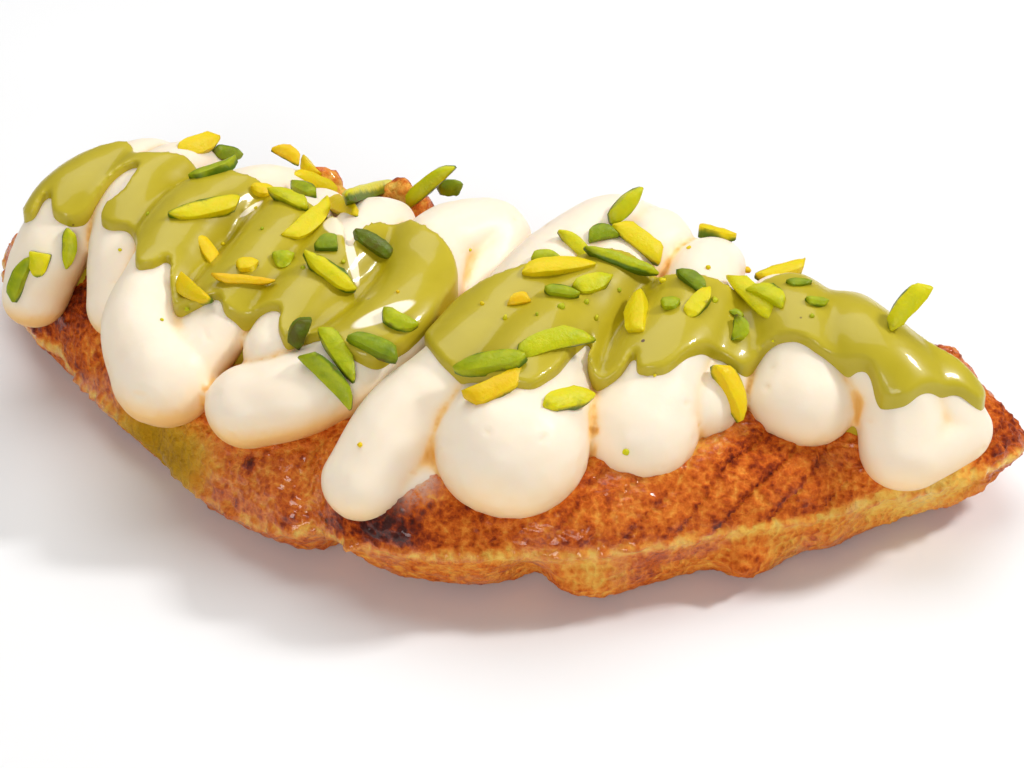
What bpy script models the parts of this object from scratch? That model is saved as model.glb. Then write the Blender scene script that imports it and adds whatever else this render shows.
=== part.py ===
"""A pistachio cheesecake croffle: a flattened croissant with piped cream, sauce and slivered nuts.

Every piece is modelled in millimetres and brought to metres at the end. +X runs along the croissant,
-Y is its front, and the origin lies under the middle of its flat base.
"""
from math import atan2, cos, exp, pi, radians, sin

import bmesh
import bpy
import numpy as np
from mathutils import Matrix, Vector
from mathutils.bvhtree import BVHTree

MM = 0.001
GAP = 0.35  # clear space between neighbouring pieces
MOST_SHELL = 1.5  # the most that a sharp corner stretches when a skin is grown

# Croissant
HALF_LENGTH = 91.0
AROUND = 30  # sides of the croissant's section
ALONG = 64  # sections along it
STATIONS = (  # x, front edge, back edge, top, underside, height of the parting line
    (-91, 13, 29, 15.5, 3.5, 8.0),
    (-80, 3, 34, 19.0, 1.5, 7.0),
    (-66, -7, 37, 22.0, -0.2, 7.0),
    (-50, -18, 39, 24.0, -0.5, 7.0),
    (-34, -29, 40, 25.0, -0.5, 7.0),
    (-18, -36, 41, 25.5, -0.5, 7.5),
    (0, -39.5, 41, 26.0, -0.5, 10.5),
    (16, -38.5, 41, 26.0, -0.5, 12.0),
    (32, -32.5, 40, 25.5, -0.5, 12.0),
    (48, -23, 38, 24.5, -0.5, 12.0),
    (62, -12, 36, 23.0, -0.5, 11.5),
    (76, -0.5, 33, 20.5, 2.0, 11.0),
    (85, 6.5, 30, 18.5, 3.0, 11.0),
    (91, 12, 28, 19.0, 5.0, 11.0),
)
SEAMS = (  # where one rolled band of dough ends and the next begins, and how far it is drawn in there
    (-68, 1.6),
    (-41, 2.2),
    (-6, 2.4),
    (25, 0.7),
    (51, 0.7),
    (72, 1.2),
)
SEAM_REACH = 3.6  # how far to each side a seam is felt
SEAM_LEAN = 9.0  # how far a seam leans along the croissant as it climbs
LEDGE = 1.4  # how far the wall under the parting line is set back
BLUNT_ENDS = 14  # a high power, so that the ends are nearly square
UPPER_SHOULDER = 0.85  # powers of the section's curve: the top's edge and crown,
UPPER_CROWN = 0.9
LOWER_WALL = 0.42  # and the steep wall and flat bottom under the parting line
LOWER_FLOOR = 0.75
FEET = (  # where the front's foot spread or is nicked: where, its reach, how far out
    (-5, 3.0, -4.0),
    (25.5, 3.2, -4.0),
    (35.5, 6.5, 4.5),
    (57, 4.0, 6.0),
    (67, 3.0, 2.0),
)
CRAGS = (  # raised flakes of crust: x, y, reach along, reach across, height
    (-35, 33, 6, 4.5, 11.0),
    (-20, 33, 7, 4.5, 11.0),
    (77, 27, 5, 4, 4.0),
)
CENTRING = (0, -0.4, 0)  # puts the origin under the middle of the whole

# Cream: each rope of piping as x, y, height and radius of its centre line, front end first
ROPES_LEFT = (
    (
        (-72, -4, 18, 5.7), (-71, 0, 24, 6.5), (-69, 7, 29, 6.3), (-66, 15, 31, 5.5),
        (-63, 23, 31, 4.5), (-62, 28, 27, 4.5),
    ),
    (
        (-54, -7, 22, 6.1), (-57, 2, 28, 6.4), (-59, 11, 31, 6.1), (-57, 20, 32, 5.2),
        (-56, 27, 29, 5.0),
    ),
    (
        (-38, -24, 23, 8.8), (-45, -17, 27, 6.7), (-46, -8, 30, 6.0), (-45, 8, 32, 6.2),
        (-40, 20, 31, 5.6), (-38, 27, 27, 5.0),
    ),
    (
        (-35, -21, 25, 6.0), (-32, -13, 29, 5.8), (-30, -2, 31, 6.2), (-30, 12, 31, 6.0),
        (-30, 20, 28, 6.0),
    ),
    (
        (-22, -27, 23, 7.2), (-15, -24, 25, 7.3), (-9, -19, 27, 7.0), (-4, -9, 30, 6.4),
        (-4, 2, 31, 5.8),
    ),
    (
        (-4, 2, 31, 5.8), (-6, 12, 32, 6.6), (-3, 19, 31, 6.9), (0, 22, 30, 6.8),
        (1, 15, 28, 5.8), (1.5, 8, 27, 4.6),
    ),
    (
        (-21, -18, 28, 5.6), (-20, -7, 30, 6.1), (-18, 6, 32, 6.2), (-18, 15, 32, 5.6),
        (-18, 21, 29, 5.0),
    ),
)
BED_LEFT = (
    (-66, 12, 25, 6.0), (-52, 8, 26, 8.0), (-38, -8, 26, 6.5),
    (-28, 6, 26, 9.0), (-18, -12, 26, 7.5), (-12, 6, 26, 8.0),
)
ROPES_RIGHT = (
    (
        (0, -33.5, 19, 6.9), (2.5, -27, 24, 7.3), (9.5, -16, 29, 7.8), (12.5, -4, 31, 8.2),
        (16, 11, 33, 8.2), (21, 23, 35, 6.6), (25, 30, 30, 6.0),
    ),
    (
        (21, -25.5, 25, 11.9), (20, -13, 29, 9.6), (21, 0, 31, 8.0), (24, 14, 33, 7.2),
        (28, 24, 34, 6.0),
    ),
    (
        (37, -12.5, 23.5, 9.6), (38, -4, 29, 7.8), (39, 7, 31, 7.0), (38, 19, 33, 5.7),
        (37, 27, 29, 5.5),
    ),
    (
        (44, -4.5, 25, 7.0), (46, 4, 28, 6.0),
    ),
    (
        (59, 2.5, 25, 9.0), (57, 9, 30, 7.6), (52, 15, 31, 6.4), (50, 22, 28, 5.5),
    ),
    (
        (76, 1.5, 20, 7.4), (73, 6, 27, 6.8), (66, 9, 31, 6.4), (62, 14, 30, 6.0),
        (62, 21, 26, 5.0),
    ),
    (
        (82, 8, 20.5, 6.2), (79, 9, 25, 5.8), (71, 13, 28, 5.5),
    ),
    (
        (76, 1.5, 20, 7.4), (82, 8, 20.5, 6.2),
    ),
    (
        (4, -31, 18, 5.5), (10, -27, 19.5, 5.0),
    ),
    (
        (27.5, -17.5, 21, 4.5), (31.5, -14, 21, 4.5),
    ),
)
BED_RIGHT = (
    (16, -4, 26, 9.0), (26, 10, 26, 10.0), (36, 8, 26, 9.0),
    (50, 10, 26, 8.5), (64, 10, 25, 7.0),
)
BEAD_STEP = 1.5
SAG = 0.9  # a rope's height against its width
CREAM_VOXEL = 1.0
CREAM_FACES = 1350
SOFTENING = 4  # rounds of smoothing over the melted piping

# Sauce: how thick it lies, and its outline in plan
SAUCE_THICKNESS = 1.6
SAUCE_VOXEL = 0.9
SAUCE_FACES = 620
SAUCE_SOFTENING = 3
OUTLINE_STEP = 1.2
PRISM_BOTTOM = 18.0  # the outline is cut from the coating between these heights
PRISM_TOP = 60.0
SAUCE_LEFT = (
    (-76, 1.5), (-74.5, -0.5), (-73, -0.5), (-72.5, 2.5), (-71.8, 4.5), (-70.7, 2), (-69, -0.2),
    (-66.5, 0), (-64.5, 2.2), (-63.5, 6), (-62, 10.5), (-59.5, 12.5), (-58.7, 8.5), (-59.2, 4.5),
    (-61, 2), (-60.5, 0), (-58, -1.5), (-55, -1), (-51, -6), (-46.5, -13), (-44.5, -11.5),
    (-43.5, -9), (-41.5, -13.5), (-37, -18.5), (-34, -17), (-32, -15.5), (-30, -17.5), (-27.5, -17),
    (-24, -15.5), (-21.5, -15.5), (-20, -19.5), (-17.5, -21.5), (-16, -19), (-12, -19), (-6, -22),
    (-3.5, -21.5), (-0.5, -17), (1.5, -11), (2, -3), (1.5, 3), (-1.5, 6.5), (-6, 8.5),
    (-11, 10.5), (-15, 7.5), (-16, 3), (-14.7, -3), (-17, 1), (-18.5, 4), (-24, 9),
    (-30, 11.5), (-36, 14.5), (-42, 14), (-47, 16.5), (-53, 18.5), (-58, 16), (-61, 15.5),
    (-64, 18.5), (-68, 17), (-72, 13), (-75, 8),
)
SAUCE_RIGHT = (
    (14, 1.5), (10, -1.5), (6.5, -4), (3, -8), (1.8, -12), (4, -17), (8, -21.5),
    (13, -23.5), (18.5, -25), (23.5, -24.5), (25.5, -20.5), (26.5, -13), (27.8, -5), (28, -9),
    (28.5, -12.5), (30.5, -14), (33.5, -12.5), (35, -8.5), (36.5, -12), (39.5, -11.5), (43, -6),
    (45.5, -2.5), (50, -2), (53, 2), (57, 2.8), (61, 2), (65.5, 1.5), (69, 1.5),
    (72.5, -1.2), (75.5, -0.5), (78, 2.5), (82, 6), (86, 8), (86, 10.5), (82, 11.5),
    (77, 12), (72, 14), (68, 18.5), (64, 18.5), (60, 17), (55, 18), (50, 15),
    (45, 11), (41, 10), (35, 10), (30, 11.5), (24.5, 10), (19.5, 5.5),
)

# Nuts: where each sliver lies, as x, y, turn in degrees, length, and degrees that it stands up
NUT_WIDTH = 3.4
NUT_THICKNESS = 2.0
NUT_REACH = 0.35  # the share of its length, each way, over which a sliver feels the surface under it
NUT_RISE = 0.4  # how much of a standing sliver's height is added to its place
NUT_FLOAT = 0.25  # the share of its thickness that its middle lies above the surface
NUTS = {
    "cream_left": (
        (-67, -1, 105, 7, 0), (-71, -4, 115, 6, 0), (-74, -7, 60, 8, 0), (-56, 23, 40, 9, 0),
        (-36, 24, -35, 6, 0), (-31, 23, -60, 4, 0), (-8, 21, 35, 10, 28), (-3, 25, 10, 5, 20),
        (-10, -24.5, -40, 11, 0),
    ),
    "sauce_left": (
        (-49, 18, 45, 8, 0), (-45, 17, -30, 5, 15), (-43, 5, 54, 13, 0), (-38, 12, 47, 5, 0),
        (-33, 10, -10, 9, 0), (-30, 6, -37, 6, 0), (-28, 1, 65, 11, 0), (-22, 5, -40, 8, 0),
        (-21, 0, -28, 5, 0), (-38, -5, -47, 10, 0), (-31, -10, 6, 10, 0), (-38, -13, -32, 9, 0),
        (-25, -5, 32, 6, 0), (-19, -6, -21, 11, 0), (-12, 4, 0, 7, 15), (-4, -12, 4, 7, 0),
        (-6, -16, 2, 8, 0), (-11, -17.5, -50, 9, 0), (-17, -18, 60, 5, 20), (-25, 12, -35, 13, 0),
        (-20, 8, 15, 9, 0),
    ),
    "cream_right": (
        (22, 19, 50, 7, 25), (20, 10, -55, 8, 0), (27, 17, -30, 10, 0), (14, -29, 26, 9, 0),
        (27, -28, 45, 9, 0), (48, -6, -62, 9, 0), (39, 20, 20, 6, 0), (68, 15, 45, 9, 40),
    ),
    "sauce_right": (
        (22, 8, 52, 5, 0), (26, 9, -16, 12, 0), (15, 3, 18, 5, 0), (18, 1, 25, 12, 0),
        (24, -1, 49, 7, 0), (20, -4, 6, 6, 0), (32, -1, -75, 8, 0), (23, -13, 40, 13, 0),
        (14, -19, 20, 11, 0), (38, 6, -50, 6, 0), (41, 2, 75, 7, 15), (47, 8, -52, 9, 0),
        (51, 9, -35, 7, 0), (52, 14, 18, 7, 0), (47, 0, 80, 5, 0),
    ),
}


def clear_scene():
    """Removes whatever the scene holds."""
    for obj in list(bpy.data.objects):
        bpy.data.objects.remove(obj, do_unlink=True)


def new_object(name, bm):
    """Makes an object of the bmesh and frees it."""
    mesh = bpy.data.meshes.new(name)
    bm.to_mesh(mesh)
    bm.free()
    obj = bpy.data.objects.new(name, mesh)
    bpy.context.scene.collection.objects.link(obj)
    return obj


def settle(obj):
    """Replaces the object's mesh by what its modifiers make of it, in triangles."""
    graph = bpy.context.evaluated_depsgraph_get()
    graph.update()
    mesh = bpy.data.meshes.new_from_object(obj.evaluated_get(graph))
    bm = bmesh.new()
    bm.from_mesh(mesh)
    bmesh.ops.triangulate(bm, faces=bm.faces)
    bm.to_mesh(mesh)
    bm.free()
    obj.modifiers.clear()
    obj.data = mesh


def discard(*objects):
    """Removes helpers that have done their work."""
    for obj in objects:
        bpy.data.objects.remove(obj, do_unlink=True)


def hermite(xs, values, x):
    """The value at x of a smooth curve through the given values."""
    slopes = np.gradient(values, xs)
    i = int(np.clip(np.searchsorted(xs, x) - 1, 0, len(xs) - 2))
    step = xs[i + 1] - xs[i]
    u = (x - xs[i]) / step
    start = values[i] * (1 + 2 * u) * (1 - u) ** 2 + slopes[i] * step * u * (1 - u) ** 2
    return start + values[i + 1] * u * u * (3 - 2 * u) + slopes[i + 1] * step * u * u * (u - 1)


def route(points, step):
    """Points at an even step along a smooth curve through the given rows of x, y, z and radius."""
    rows = np.array(points, float)
    lengths = np.concatenate([[0], np.cumsum(np.linalg.norm(np.diff(rows[:, :3], axis=0), axis=1))])
    marks = np.linspace(0, lengths[-1], max(2, int(lengths[-1] / step) + 1))
    return [[hermite(lengths, rows[:, k], mark) for k in range(4)] for mark in marks]


def signed_power(value, power):
    """A power that keeps the sign."""
    return np.sign(value) * abs(value) ** power


def station(x):
    """Front edge, back edge, top, underside and parting line of the croissant at x."""
    rows = np.array(STATIONS, float)
    return [hermite(rows[:, 0], rows[:, k], x) for k in range(1, 6)]


def seam_relief(x, climb):
    """How deep the dough is drawn in near a seam between two rolled bands."""
    place = x + SEAM_LEAN * climb
    return sum(depth * exp(-((place - seam) / SEAM_REACH) ** 2) for seam, depth in SEAMS)


def foot_reach(x):
    """How much further the foot of the front reaches at x."""
    return sum(out * exp(-((x - place) / reach) ** 2) for place, reach, out in FEET)


def crag_height(x, y):
    """How much higher the top stands where flakes of crust stick up."""
    total = 0.0
    for cx, cy, along, across, high in CRAGS:
        total += high * exp(-((x - cx) / along) ** 2 - ((y - cy) / across) ** 2)
    return total


def shape_croissant(point):
    """Draws a point of a unit sphere, whose poles lie on X, out to the croissant's skin."""
    x = HALF_LENGTH * point.x
    front, back, top, under, parting = station(x)
    blunt = max(0.0, 1 - abs(point.x) ** BLUNT_ENDS) ** 0.5
    angle = atan2(point.z, point.y)
    climb = sin(angle)
    ridge = min(parting, 0.5 * (top + under) + 1)
    half = 0.5 * (back - front) - seam_relief(x, climb)
    middle = 0.5 * (front + back)
    if climb > 0:
        y = middle + half * blunt * signed_power(cos(angle), UPPER_SHOULDER)
        z = ridge + (top - seam_relief(x, climb) - ridge) * blunt * climb ** UPPER_CROWN
        z += crag_height(x, y) * min(1, climb * 2)
    else:
        half -= LEDGE * min(1, -climb * 4)
        if point.y < 0:
            half += foot_reach(x) * min(1, -climb * 3)
        y = middle + half * blunt * signed_power(cos(angle), LOWER_WALL)
        z = ridge - (ridge - under) * blunt * (-climb) ** LOWER_FLOOR
    return Vector((x, y, z))


def make_croissant():
    """The flattened croissant, with its rolled bands, its parting line and a flat base."""
    bm = bmesh.new()
    bmesh.ops.create_uvsphere(bm, u_segments=AROUND, v_segments=ALONG, radius=1)
    bmesh.ops.rotate(bm, matrix=Matrix.Rotation(pi / 2, 3, "Y"), verts=bm.verts)
    for vert in bm.verts:
        vert.co = shape_croissant(vert.co)
    geometry = bm.verts[:] + bm.edges[:] + bm.faces[:]
    up = Vector((0, 0, 1))
    cut = bmesh.ops.bisect_plane(bm, geom=geometry, plane_co=Vector(), plane_no=up, clear_inner=True)
    rim = [item for item in cut["geom_cut"] if isinstance(item, bmesh.types.BMEdge)]
    bmesh.ops.contextual_create(bm, geom=rim)
    bmesh.ops.triangulate(bm, faces=bm.faces)
    bmesh.ops.recalc_face_normals(bm, faces=bm.faces)
    return new_object("croissant", bm)


def add_beads(bm, points):
    """Strings closely set beads along a rope of piping."""
    for x, y, z, radius in route(points, BEAD_STEP):
        place = Matrix.LocRotScale(Vector((x, y, z)), None, Vector((1, 1, SAG)))
        bmesh.ops.create_icosphere(bm, subdivisions=2, radius=radius, matrix=place)


def fuse(obj, voxel, rounds):
    """Melts overlapping shapes into one skin and smooths it."""
    remesh = obj.modifiers.new("Melt", "REMESH")
    remesh.mode = "VOXEL"
    remesh.voxel_size = voxel
    smooth = obj.modifiers.new("Soften", "SMOOTH")
    smooth.iterations = rounds
    settle(obj)


def thin_out(obj, faces):
    """Brings the mesh down to about the given number of triangles."""
    obj.data.calc_loop_triangles()
    decimate = obj.modifiers.new("Thin", "DECIMATE")
    decimate.ratio = min(1.0, faces / len(obj.data.loop_triangles))
    settle(obj)


def grown(obj, distance):
    """A copy whose skin stands the given distance further out."""
    bm = bmesh.new()
    bm.from_mesh(obj.data)
    bm.normal_update()
    moves = [distance * min(vert.calc_shell_factor(), MOST_SHELL) * vert.normal for vert in bm.verts]
    for vert, move in zip(bm.verts, moves):
        vert.co += move
    return new_object(obj.name + "_grown", bm)


def combine(obj, other, operation):
    """Adds, cuts or keeps the common part of another solid."""
    boolean = obj.modifiers.new("Combine", "BOOLEAN")
    boolean.operation = operation
    boolean.solver = "MANIFOLD"
    boolean.object = other
    settle(obj)


def cut_clear(obj, *neighbours):
    """Cuts the piece back so that it stands clear of its neighbours, and drops loose scraps."""
    for neighbour in neighbours:
        cutter = grown(neighbour, GAP)
        combine(obj, cutter, "DIFFERENCE")
        discard(cutter)
    keep_largest(obj)


def keep_largest(obj):
    """Keeps only the largest connected shape of the mesh."""
    bm = bmesh.new()
    bm.from_mesh(obj.data)
    left, islands = set(bm.verts), []
    while left:
        island, front = set(), [left.pop()]
        while front:
            vert = front.pop()
            island.add(vert)
            fresh = {edge.other_vert(vert) for edge in vert.link_edges} & left
            left -= fresh
            front += fresh
        islands.append(island)
    islands.sort(key=len)
    for island in islands[:-1]:
        bmesh.ops.delete(bm, geom=list(island), context="VERTS")
    bm.to_mesh(obj.data)
    bm.free()


def make_piping(name, ropes, bed):
    """The skin of one mass of piping, with ropes and the bed between them melted together."""
    bm = bmesh.new()
    for points in ropes + (bed,):
        add_beads(bm, points)
    piping = new_object(name, bm)
    fuse(piping, CREAM_VOXEL, SOFTENING)
    return piping


def copy_of(obj, name):
    """A copy of the object with a mesh of its own."""
    twin = bpy.data.objects.new(name, obj.data.copy())
    bpy.context.scene.collection.objects.link(twin)
    return twin


def make_prism(outline):
    """An upright prism over a smooth closed outline in plan."""
    loop = outline + outline[:1]
    bm = bmesh.new()
    points = route([(x, y, PRISM_BOTTOM, 0) for x, y in loop], OUTLINE_STEP)[:-1]
    base = bm.faces.new([bm.verts.new(point[:3]) for point in points])
    sides = bmesh.ops.extrude_face_region(bm, geom=[base])
    risen = [item for item in sides["geom"] if isinstance(item, bmesh.types.BMVert)]
    bmesh.ops.translate(bm, vec=(0, 0, PRISM_TOP - PRISM_BOTTOM), verts=risen)
    bmesh.ops.triangulate(bm, faces=bm.faces)
    bmesh.ops.recalc_face_normals(bm, faces=bm.faces)
    return new_object("prism", bm)


def make_sauce(name, piping, outline):
    """A pool of sauce: the part of a thicker copy of the piping that lies within the outline."""
    sauce = grown(piping, SAUCE_THICKNESS)
    sauce.name = name
    fuse(sauce, CREAM_VOXEL, SAUCE_SOFTENING)
    prism = make_prism(outline)
    combine(sauce, prism, "INTERSECT")
    discard(prism)
    fuse(sauce, SAUCE_VOXEL, SAUCE_SOFTENING)
    thin_out(sauce, SAUCE_FACES)
    return sauce


def drop(tree, x, y):
    """The point of the surface straight under a place in plan, or the nearest one past its edge."""
    hit = tree.ray_cast(Vector((x, y, PRISM_TOP)), Vector((0, 0, -1)))[0]
    return hit or tree.find_nearest(Vector((x, y, 0.5 * PRISM_TOP)))[0]


def make_nut(tree, x, y, turn, length, lift):
    """One pointed sliver of nut, leaning as the surface under it does or standing up from it."""
    east = cos(radians(turn)) * NUT_REACH * length
    north = sin(radians(turn)) * NUT_REACH * length
    tail, middle, head = (drop(tree, x + k * east, y + k * north) for k in (-1, 0, 1))
    along = (head - tail).normalized()
    up = Vector((0, 0, 1))
    side = up.cross(along).normalized()
    along = Matrix.Rotation(radians(-lift), 3, side) @ along
    normal = along.cross(side)
    centre = 0.5 * (middle + 0.5 * (tail + head)) + NUT_FLOAT * NUT_THICKNESS * normal
    centre += NUT_RISE * length * sin(radians(lift)) * up
    axes = Matrix((side, normal, along)).transposed().to_4x4()
    size = Matrix.Diagonal((0.5 * NUT_WIDTH, 0.5 * NUT_THICKNESS, 0.5 * length, 1))
    place = Matrix.Translation(centre) @ axes @ size
    bm = bmesh.new()
    bmesh.ops.create_uvsphere(bm, u_segments=5, v_segments=4, radius=1, matrix=place)
    return new_object("nut", bm)


def make_nuts(obj, places):
    """The slivers of nut that lie on a piece."""
    tree = BVHTree.FromObject(obj, bpy.context.evaluated_depsgraph_get())
    return [make_nut(tree, *place) for place in places]


def fuse_nuts(obj, nuts):
    """Joins slivers of nut to the piece that they lie on."""
    group = bpy.data.collections.new("nuts")
    for nut in nuts:
        group.objects.link(nut)
    boolean = obj.modifiers.new("Nuts", "BOOLEAN")
    boolean.operation = "UNION"
    boolean.operand_type = "COLLECTION"
    boolean.solver = "MANIFOLD"
    boolean.collection = group
    settle(obj)
    bpy.data.collections.remove(group)


def paint(obj, name, colour, roughness):
    """Gives the object its own material."""
    material = bpy.data.materials.new(name)
    material.use_nodes = True
    shader = material.node_tree.nodes["Principled BSDF"]
    shader.inputs["Base Color"].default_value = (*colour, 1)
    shader.inputs["Roughness"].default_value = roughness
    shader.inputs["Metallic"].default_value = 0
    obj.data.materials.clear()
    obj.data.materials.append(material)


def finish(obj):
    """Brings a piece over the origin and from millimetres to metres, and shades it smooth."""
    obj.data.transform(Matrix.Scale(MM, 4) @ Matrix.Translation(CENTRING))
    obj.data.shade_smooth()
    obj.data.update()


def main():
    """Makes the croissant, then both sides' cream with its nuts, then the sauce over it."""
    clear_scene()
    croissant = make_croissant()
    pieces = {"croissant": croissant}
    piping, helpers = {}, []
    for side, ropes, bed in (("left", ROPES_LEFT, BED_LEFT), ("right", ROPES_RIGHT, BED_RIGHT)):
        piping[side] = make_piping("piping_" + side, ropes, bed)
        cream = copy_of(piping[side], "cream_" + side)
        thin_out(cream, CREAM_FACES)
        bare = copy_of(cream, "bare_" + side)
        nuts = make_nuts(cream, NUTS[cream.name])
        fuse_nuts(cream, nuts)
        cut_clear(cream, croissant, *helpers)
        pieces[cream.name] = cream
        helpers += [bare] + nuts
    for side, outline in (("left", SAUCE_LEFT), ("right", SAUCE_RIGHT)):
        sauce = make_sauce("sauce_" + side, piping[side], outline)
        nuts = make_nuts(sauce, NUTS[sauce.name])
        fuse_nuts(sauce, nuts)
        discard(*nuts)
        cut_clear(sauce, croissant, *helpers)
        pieces[sauce.name] = sauce
    discard(*piping.values(), *helpers)
    paint(pieces["croissant"], "crust", (0.42, 0.14, 0.03), 0.35)
    for side in ("left", "right"):
        paint(pieces["cream_" + side], "cream_" + side, (0.95, 0.80, 0.60), 0.45)
        paint(pieces["sauce_" + side], "sauce_" + side, (0.42, 0.44, 0.05), 0.20)
    for obj in pieces.values():
        finish(obj)


main()
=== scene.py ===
# %% [markdown]
# # A pistachio cheesecake croffle
# A croissant is pressed flat and caramelised in a hot iron. Ropes of cheesecake cream are
# piped across it, pistachio sauce is poured over the cream, and slivered pistachios are
# scattered on top. This lesson builds each of those with Blender's own mesh operators and
# procedural materials, around the plain solids of the part.

# %% Load the plain solids
from math import cos, pi, radians, sin

import bmesh
import bpy
import numpy as np
from mathutils import Matrix, Vector, noise
from mathutils.bvhtree import BVHTree


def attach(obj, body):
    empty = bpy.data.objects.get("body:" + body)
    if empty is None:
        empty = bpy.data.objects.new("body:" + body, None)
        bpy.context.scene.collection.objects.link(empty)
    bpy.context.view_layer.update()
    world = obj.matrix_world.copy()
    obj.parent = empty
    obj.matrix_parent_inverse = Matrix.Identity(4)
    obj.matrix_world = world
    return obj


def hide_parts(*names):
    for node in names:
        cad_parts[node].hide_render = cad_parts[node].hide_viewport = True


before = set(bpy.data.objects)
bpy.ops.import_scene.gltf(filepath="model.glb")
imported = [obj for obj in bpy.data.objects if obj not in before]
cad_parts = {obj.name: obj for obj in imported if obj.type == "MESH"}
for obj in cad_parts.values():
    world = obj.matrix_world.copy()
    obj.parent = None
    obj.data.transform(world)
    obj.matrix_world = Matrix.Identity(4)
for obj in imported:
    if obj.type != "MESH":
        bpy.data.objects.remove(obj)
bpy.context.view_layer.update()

print("nodes:", sorted(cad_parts))

# %% [markdown]
# ## Working size
# Food is easier to think about in millimetres, so every piece is shaped in millimetres and
# brought to metres once, at the end. The last step also shifts it by the same small amount as
# the solids, which puts the origin under the middle of the whole.

# %% Units
MM = 0.001
CENTRING = Vector((0, -0.4, 0))
UP = Vector((0, 0, 1))

# %% [markdown]
# ## The camera
# The photograph looks down at the croissant from the front, a little to its right, through a
# long lens. The camera is made first, because the nuts are laid by looking through it: each is
# named by where it begins and ends in the picture, and a ray finds the surface under it.

# %% Camera
AZIMUTH, ELEVATION = radians(20), radians(35)
LENS, SENSOR, DISTANCE = 100.0, 36.0, 453.0
TARGET = Vector((12, -4, 22))
FRAME_SIZE = (1024, 768)
AIM = (505, 375)  # where the target lies in the picture
FOCAL = LENS / SENSOR * FRAME_SIZE[0]
MM_PER_PIXEL = DISTANCE / FOCAL  # near the target
BACK = Vector((sin(AZIMUTH) * cos(ELEVATION), -cos(AZIMUTH) * cos(ELEVATION), sin(ELEVATION)))
RIGHT = Vector((cos(AZIMUTH), sin(AZIMUTH), 0))
ABOVE = BACK.cross(RIGHT)
EYE = TARGET + DISTANCE * BACK


def make_camera():
    """A camera that frames the croissant as the photograph does."""
    data = bpy.data.cameras.new("camera")
    data.lens = LENS
    data.sensor_width = SENSOR
    data.shift_x = (FRAME_SIZE[0] / 2 - AIM[0]) / FRAME_SIZE[0]
    data.shift_y = (AIM[1] - FRAME_SIZE[1] / 2) / FRAME_SIZE[0]
    camera = bpy.data.objects.new("camera", data)
    camera.location = (EYE + CENTRING) * MM
    camera.rotation_euler = BACK.to_track_quat("Z", "Y").to_euler()
    bpy.context.scene.collection.objects.link(camera)
    bpy.context.scene.camera = camera


def sight(px, py):
    """The direction from the camera through a place in the picture."""
    return ((px - AIM[0]) / FOCAL * RIGHT - (py - AIM[1]) / FOCAL * ABOVE - BACK).normalized()


make_camera()
print("camera at", [round(c) for c in EYE], "mm")

# %% [markdown]
# ## Small tools
# A piece begins as a bmesh, which is Blender's editable mesh. It becomes an object, and its
# modifiers are applied straight away, so that the next step can measure what they made.

# %% Objects and modifiers


def new_object(name, bm):
    """Makes an object of the bmesh and frees it."""
    mesh = bpy.data.meshes.new(name)
    bm.to_mesh(mesh)
    bm.free()
    obj = bpy.data.objects.new(name, mesh)
    bpy.context.scene.collection.objects.link(obj)
    return obj


def settle(obj):
    """Replaces the object's mesh by what its modifiers make of it, in triangles."""
    graph = bpy.context.evaluated_depsgraph_get()
    graph.update()
    mesh = bpy.data.meshes.new_from_object(obj.evaluated_get(graph))
    bm = bmesh.new()
    bm.from_mesh(mesh)
    bmesh.ops.triangulate(bm, faces=bm.faces)
    bm.to_mesh(mesh)
    bm.free()
    obj.modifiers.clear()
    obj.data = mesh


def combine(obj, other, operation):
    """Adds, cuts or keeps the common part of another solid."""
    boolean = obj.modifiers.new("Combine", "BOOLEAN")
    boolean.operation = operation
    boolean.solver = "MANIFOLD"
    boolean.object = other
    settle(obj)


def fuse(obj, voxel, rounds):
    """Melts overlapping shapes into one skin and smooths it."""
    remesh = obj.modifiers.new("Melt", "REMESH")
    remesh.mode = "VOXEL"
    remesh.voxel_size = voxel
    smooth = obj.modifiers.new("Soften", "SMOOTH")
    smooth.iterations = rounds
    settle(obj)


# %% Points, normals and attributes


def numbers_of(items, name, width=3, kind=float):
    """One property of every vertex or edge, a row for each."""
    values = np.empty(len(items) * width, kind)
    items.foreach_get(name, values)
    return values.reshape(-1, width)


def points_of(obj):
    """The object's vertices as rows of x, y and z."""
    return numbers_of(obj.data.vertices, "co")


def normals_of(obj):
    """The direction that each vertex faces."""
    return numbers_of(obj.data.vertex_normals, "vector")


def move_points(obj, points):
    """Puts the vertices at new places."""
    obj.data.vertices.foreach_set("co", points.ravel())
    obj.data.update()


def push_out(obj, amounts):
    """Moves each vertex along its normal."""
    move_points(obj, points_of(obj) + normals_of(obj) * amounts[:, None])


def store(obj, name, values):
    """Keeps a number for each vertex, which a material can read."""
    attribute = obj.data.attributes.get(name) or obj.data.attributes.new(name, "FLOAT", "POINT")
    attribute.data.foreach_set("value", np.asarray(values, np.float32))


def neighbour_mean(points, ends):
    """For each vertex, the middle of those that it shares an edge with."""
    total, count = np.zeros_like(points), np.zeros((len(points), 1))
    np.add.at(total, ends[:, 0], points[ends[:, 1]])
    np.add.at(total, ends[:, 1], points[ends[:, 0]])
    np.add.at(count, ends.ravel(), 1)
    return total / count


def hollows(obj, rounds):
    """How deep each vertex lies in a crease, in millimetres, and less than nothing on a crest."""
    ends = numbers_of(obj.data.edges, "vertices", 2, int)
    flat = points = points_of(obj)
    for _ in range(rounds):
        flat = 0.5 * flat + 0.5 * neighbour_mean(flat, ends)
    return ((flat - points) * normals_of(obj)).sum(axis=1)


# %% Curves and noise


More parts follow.
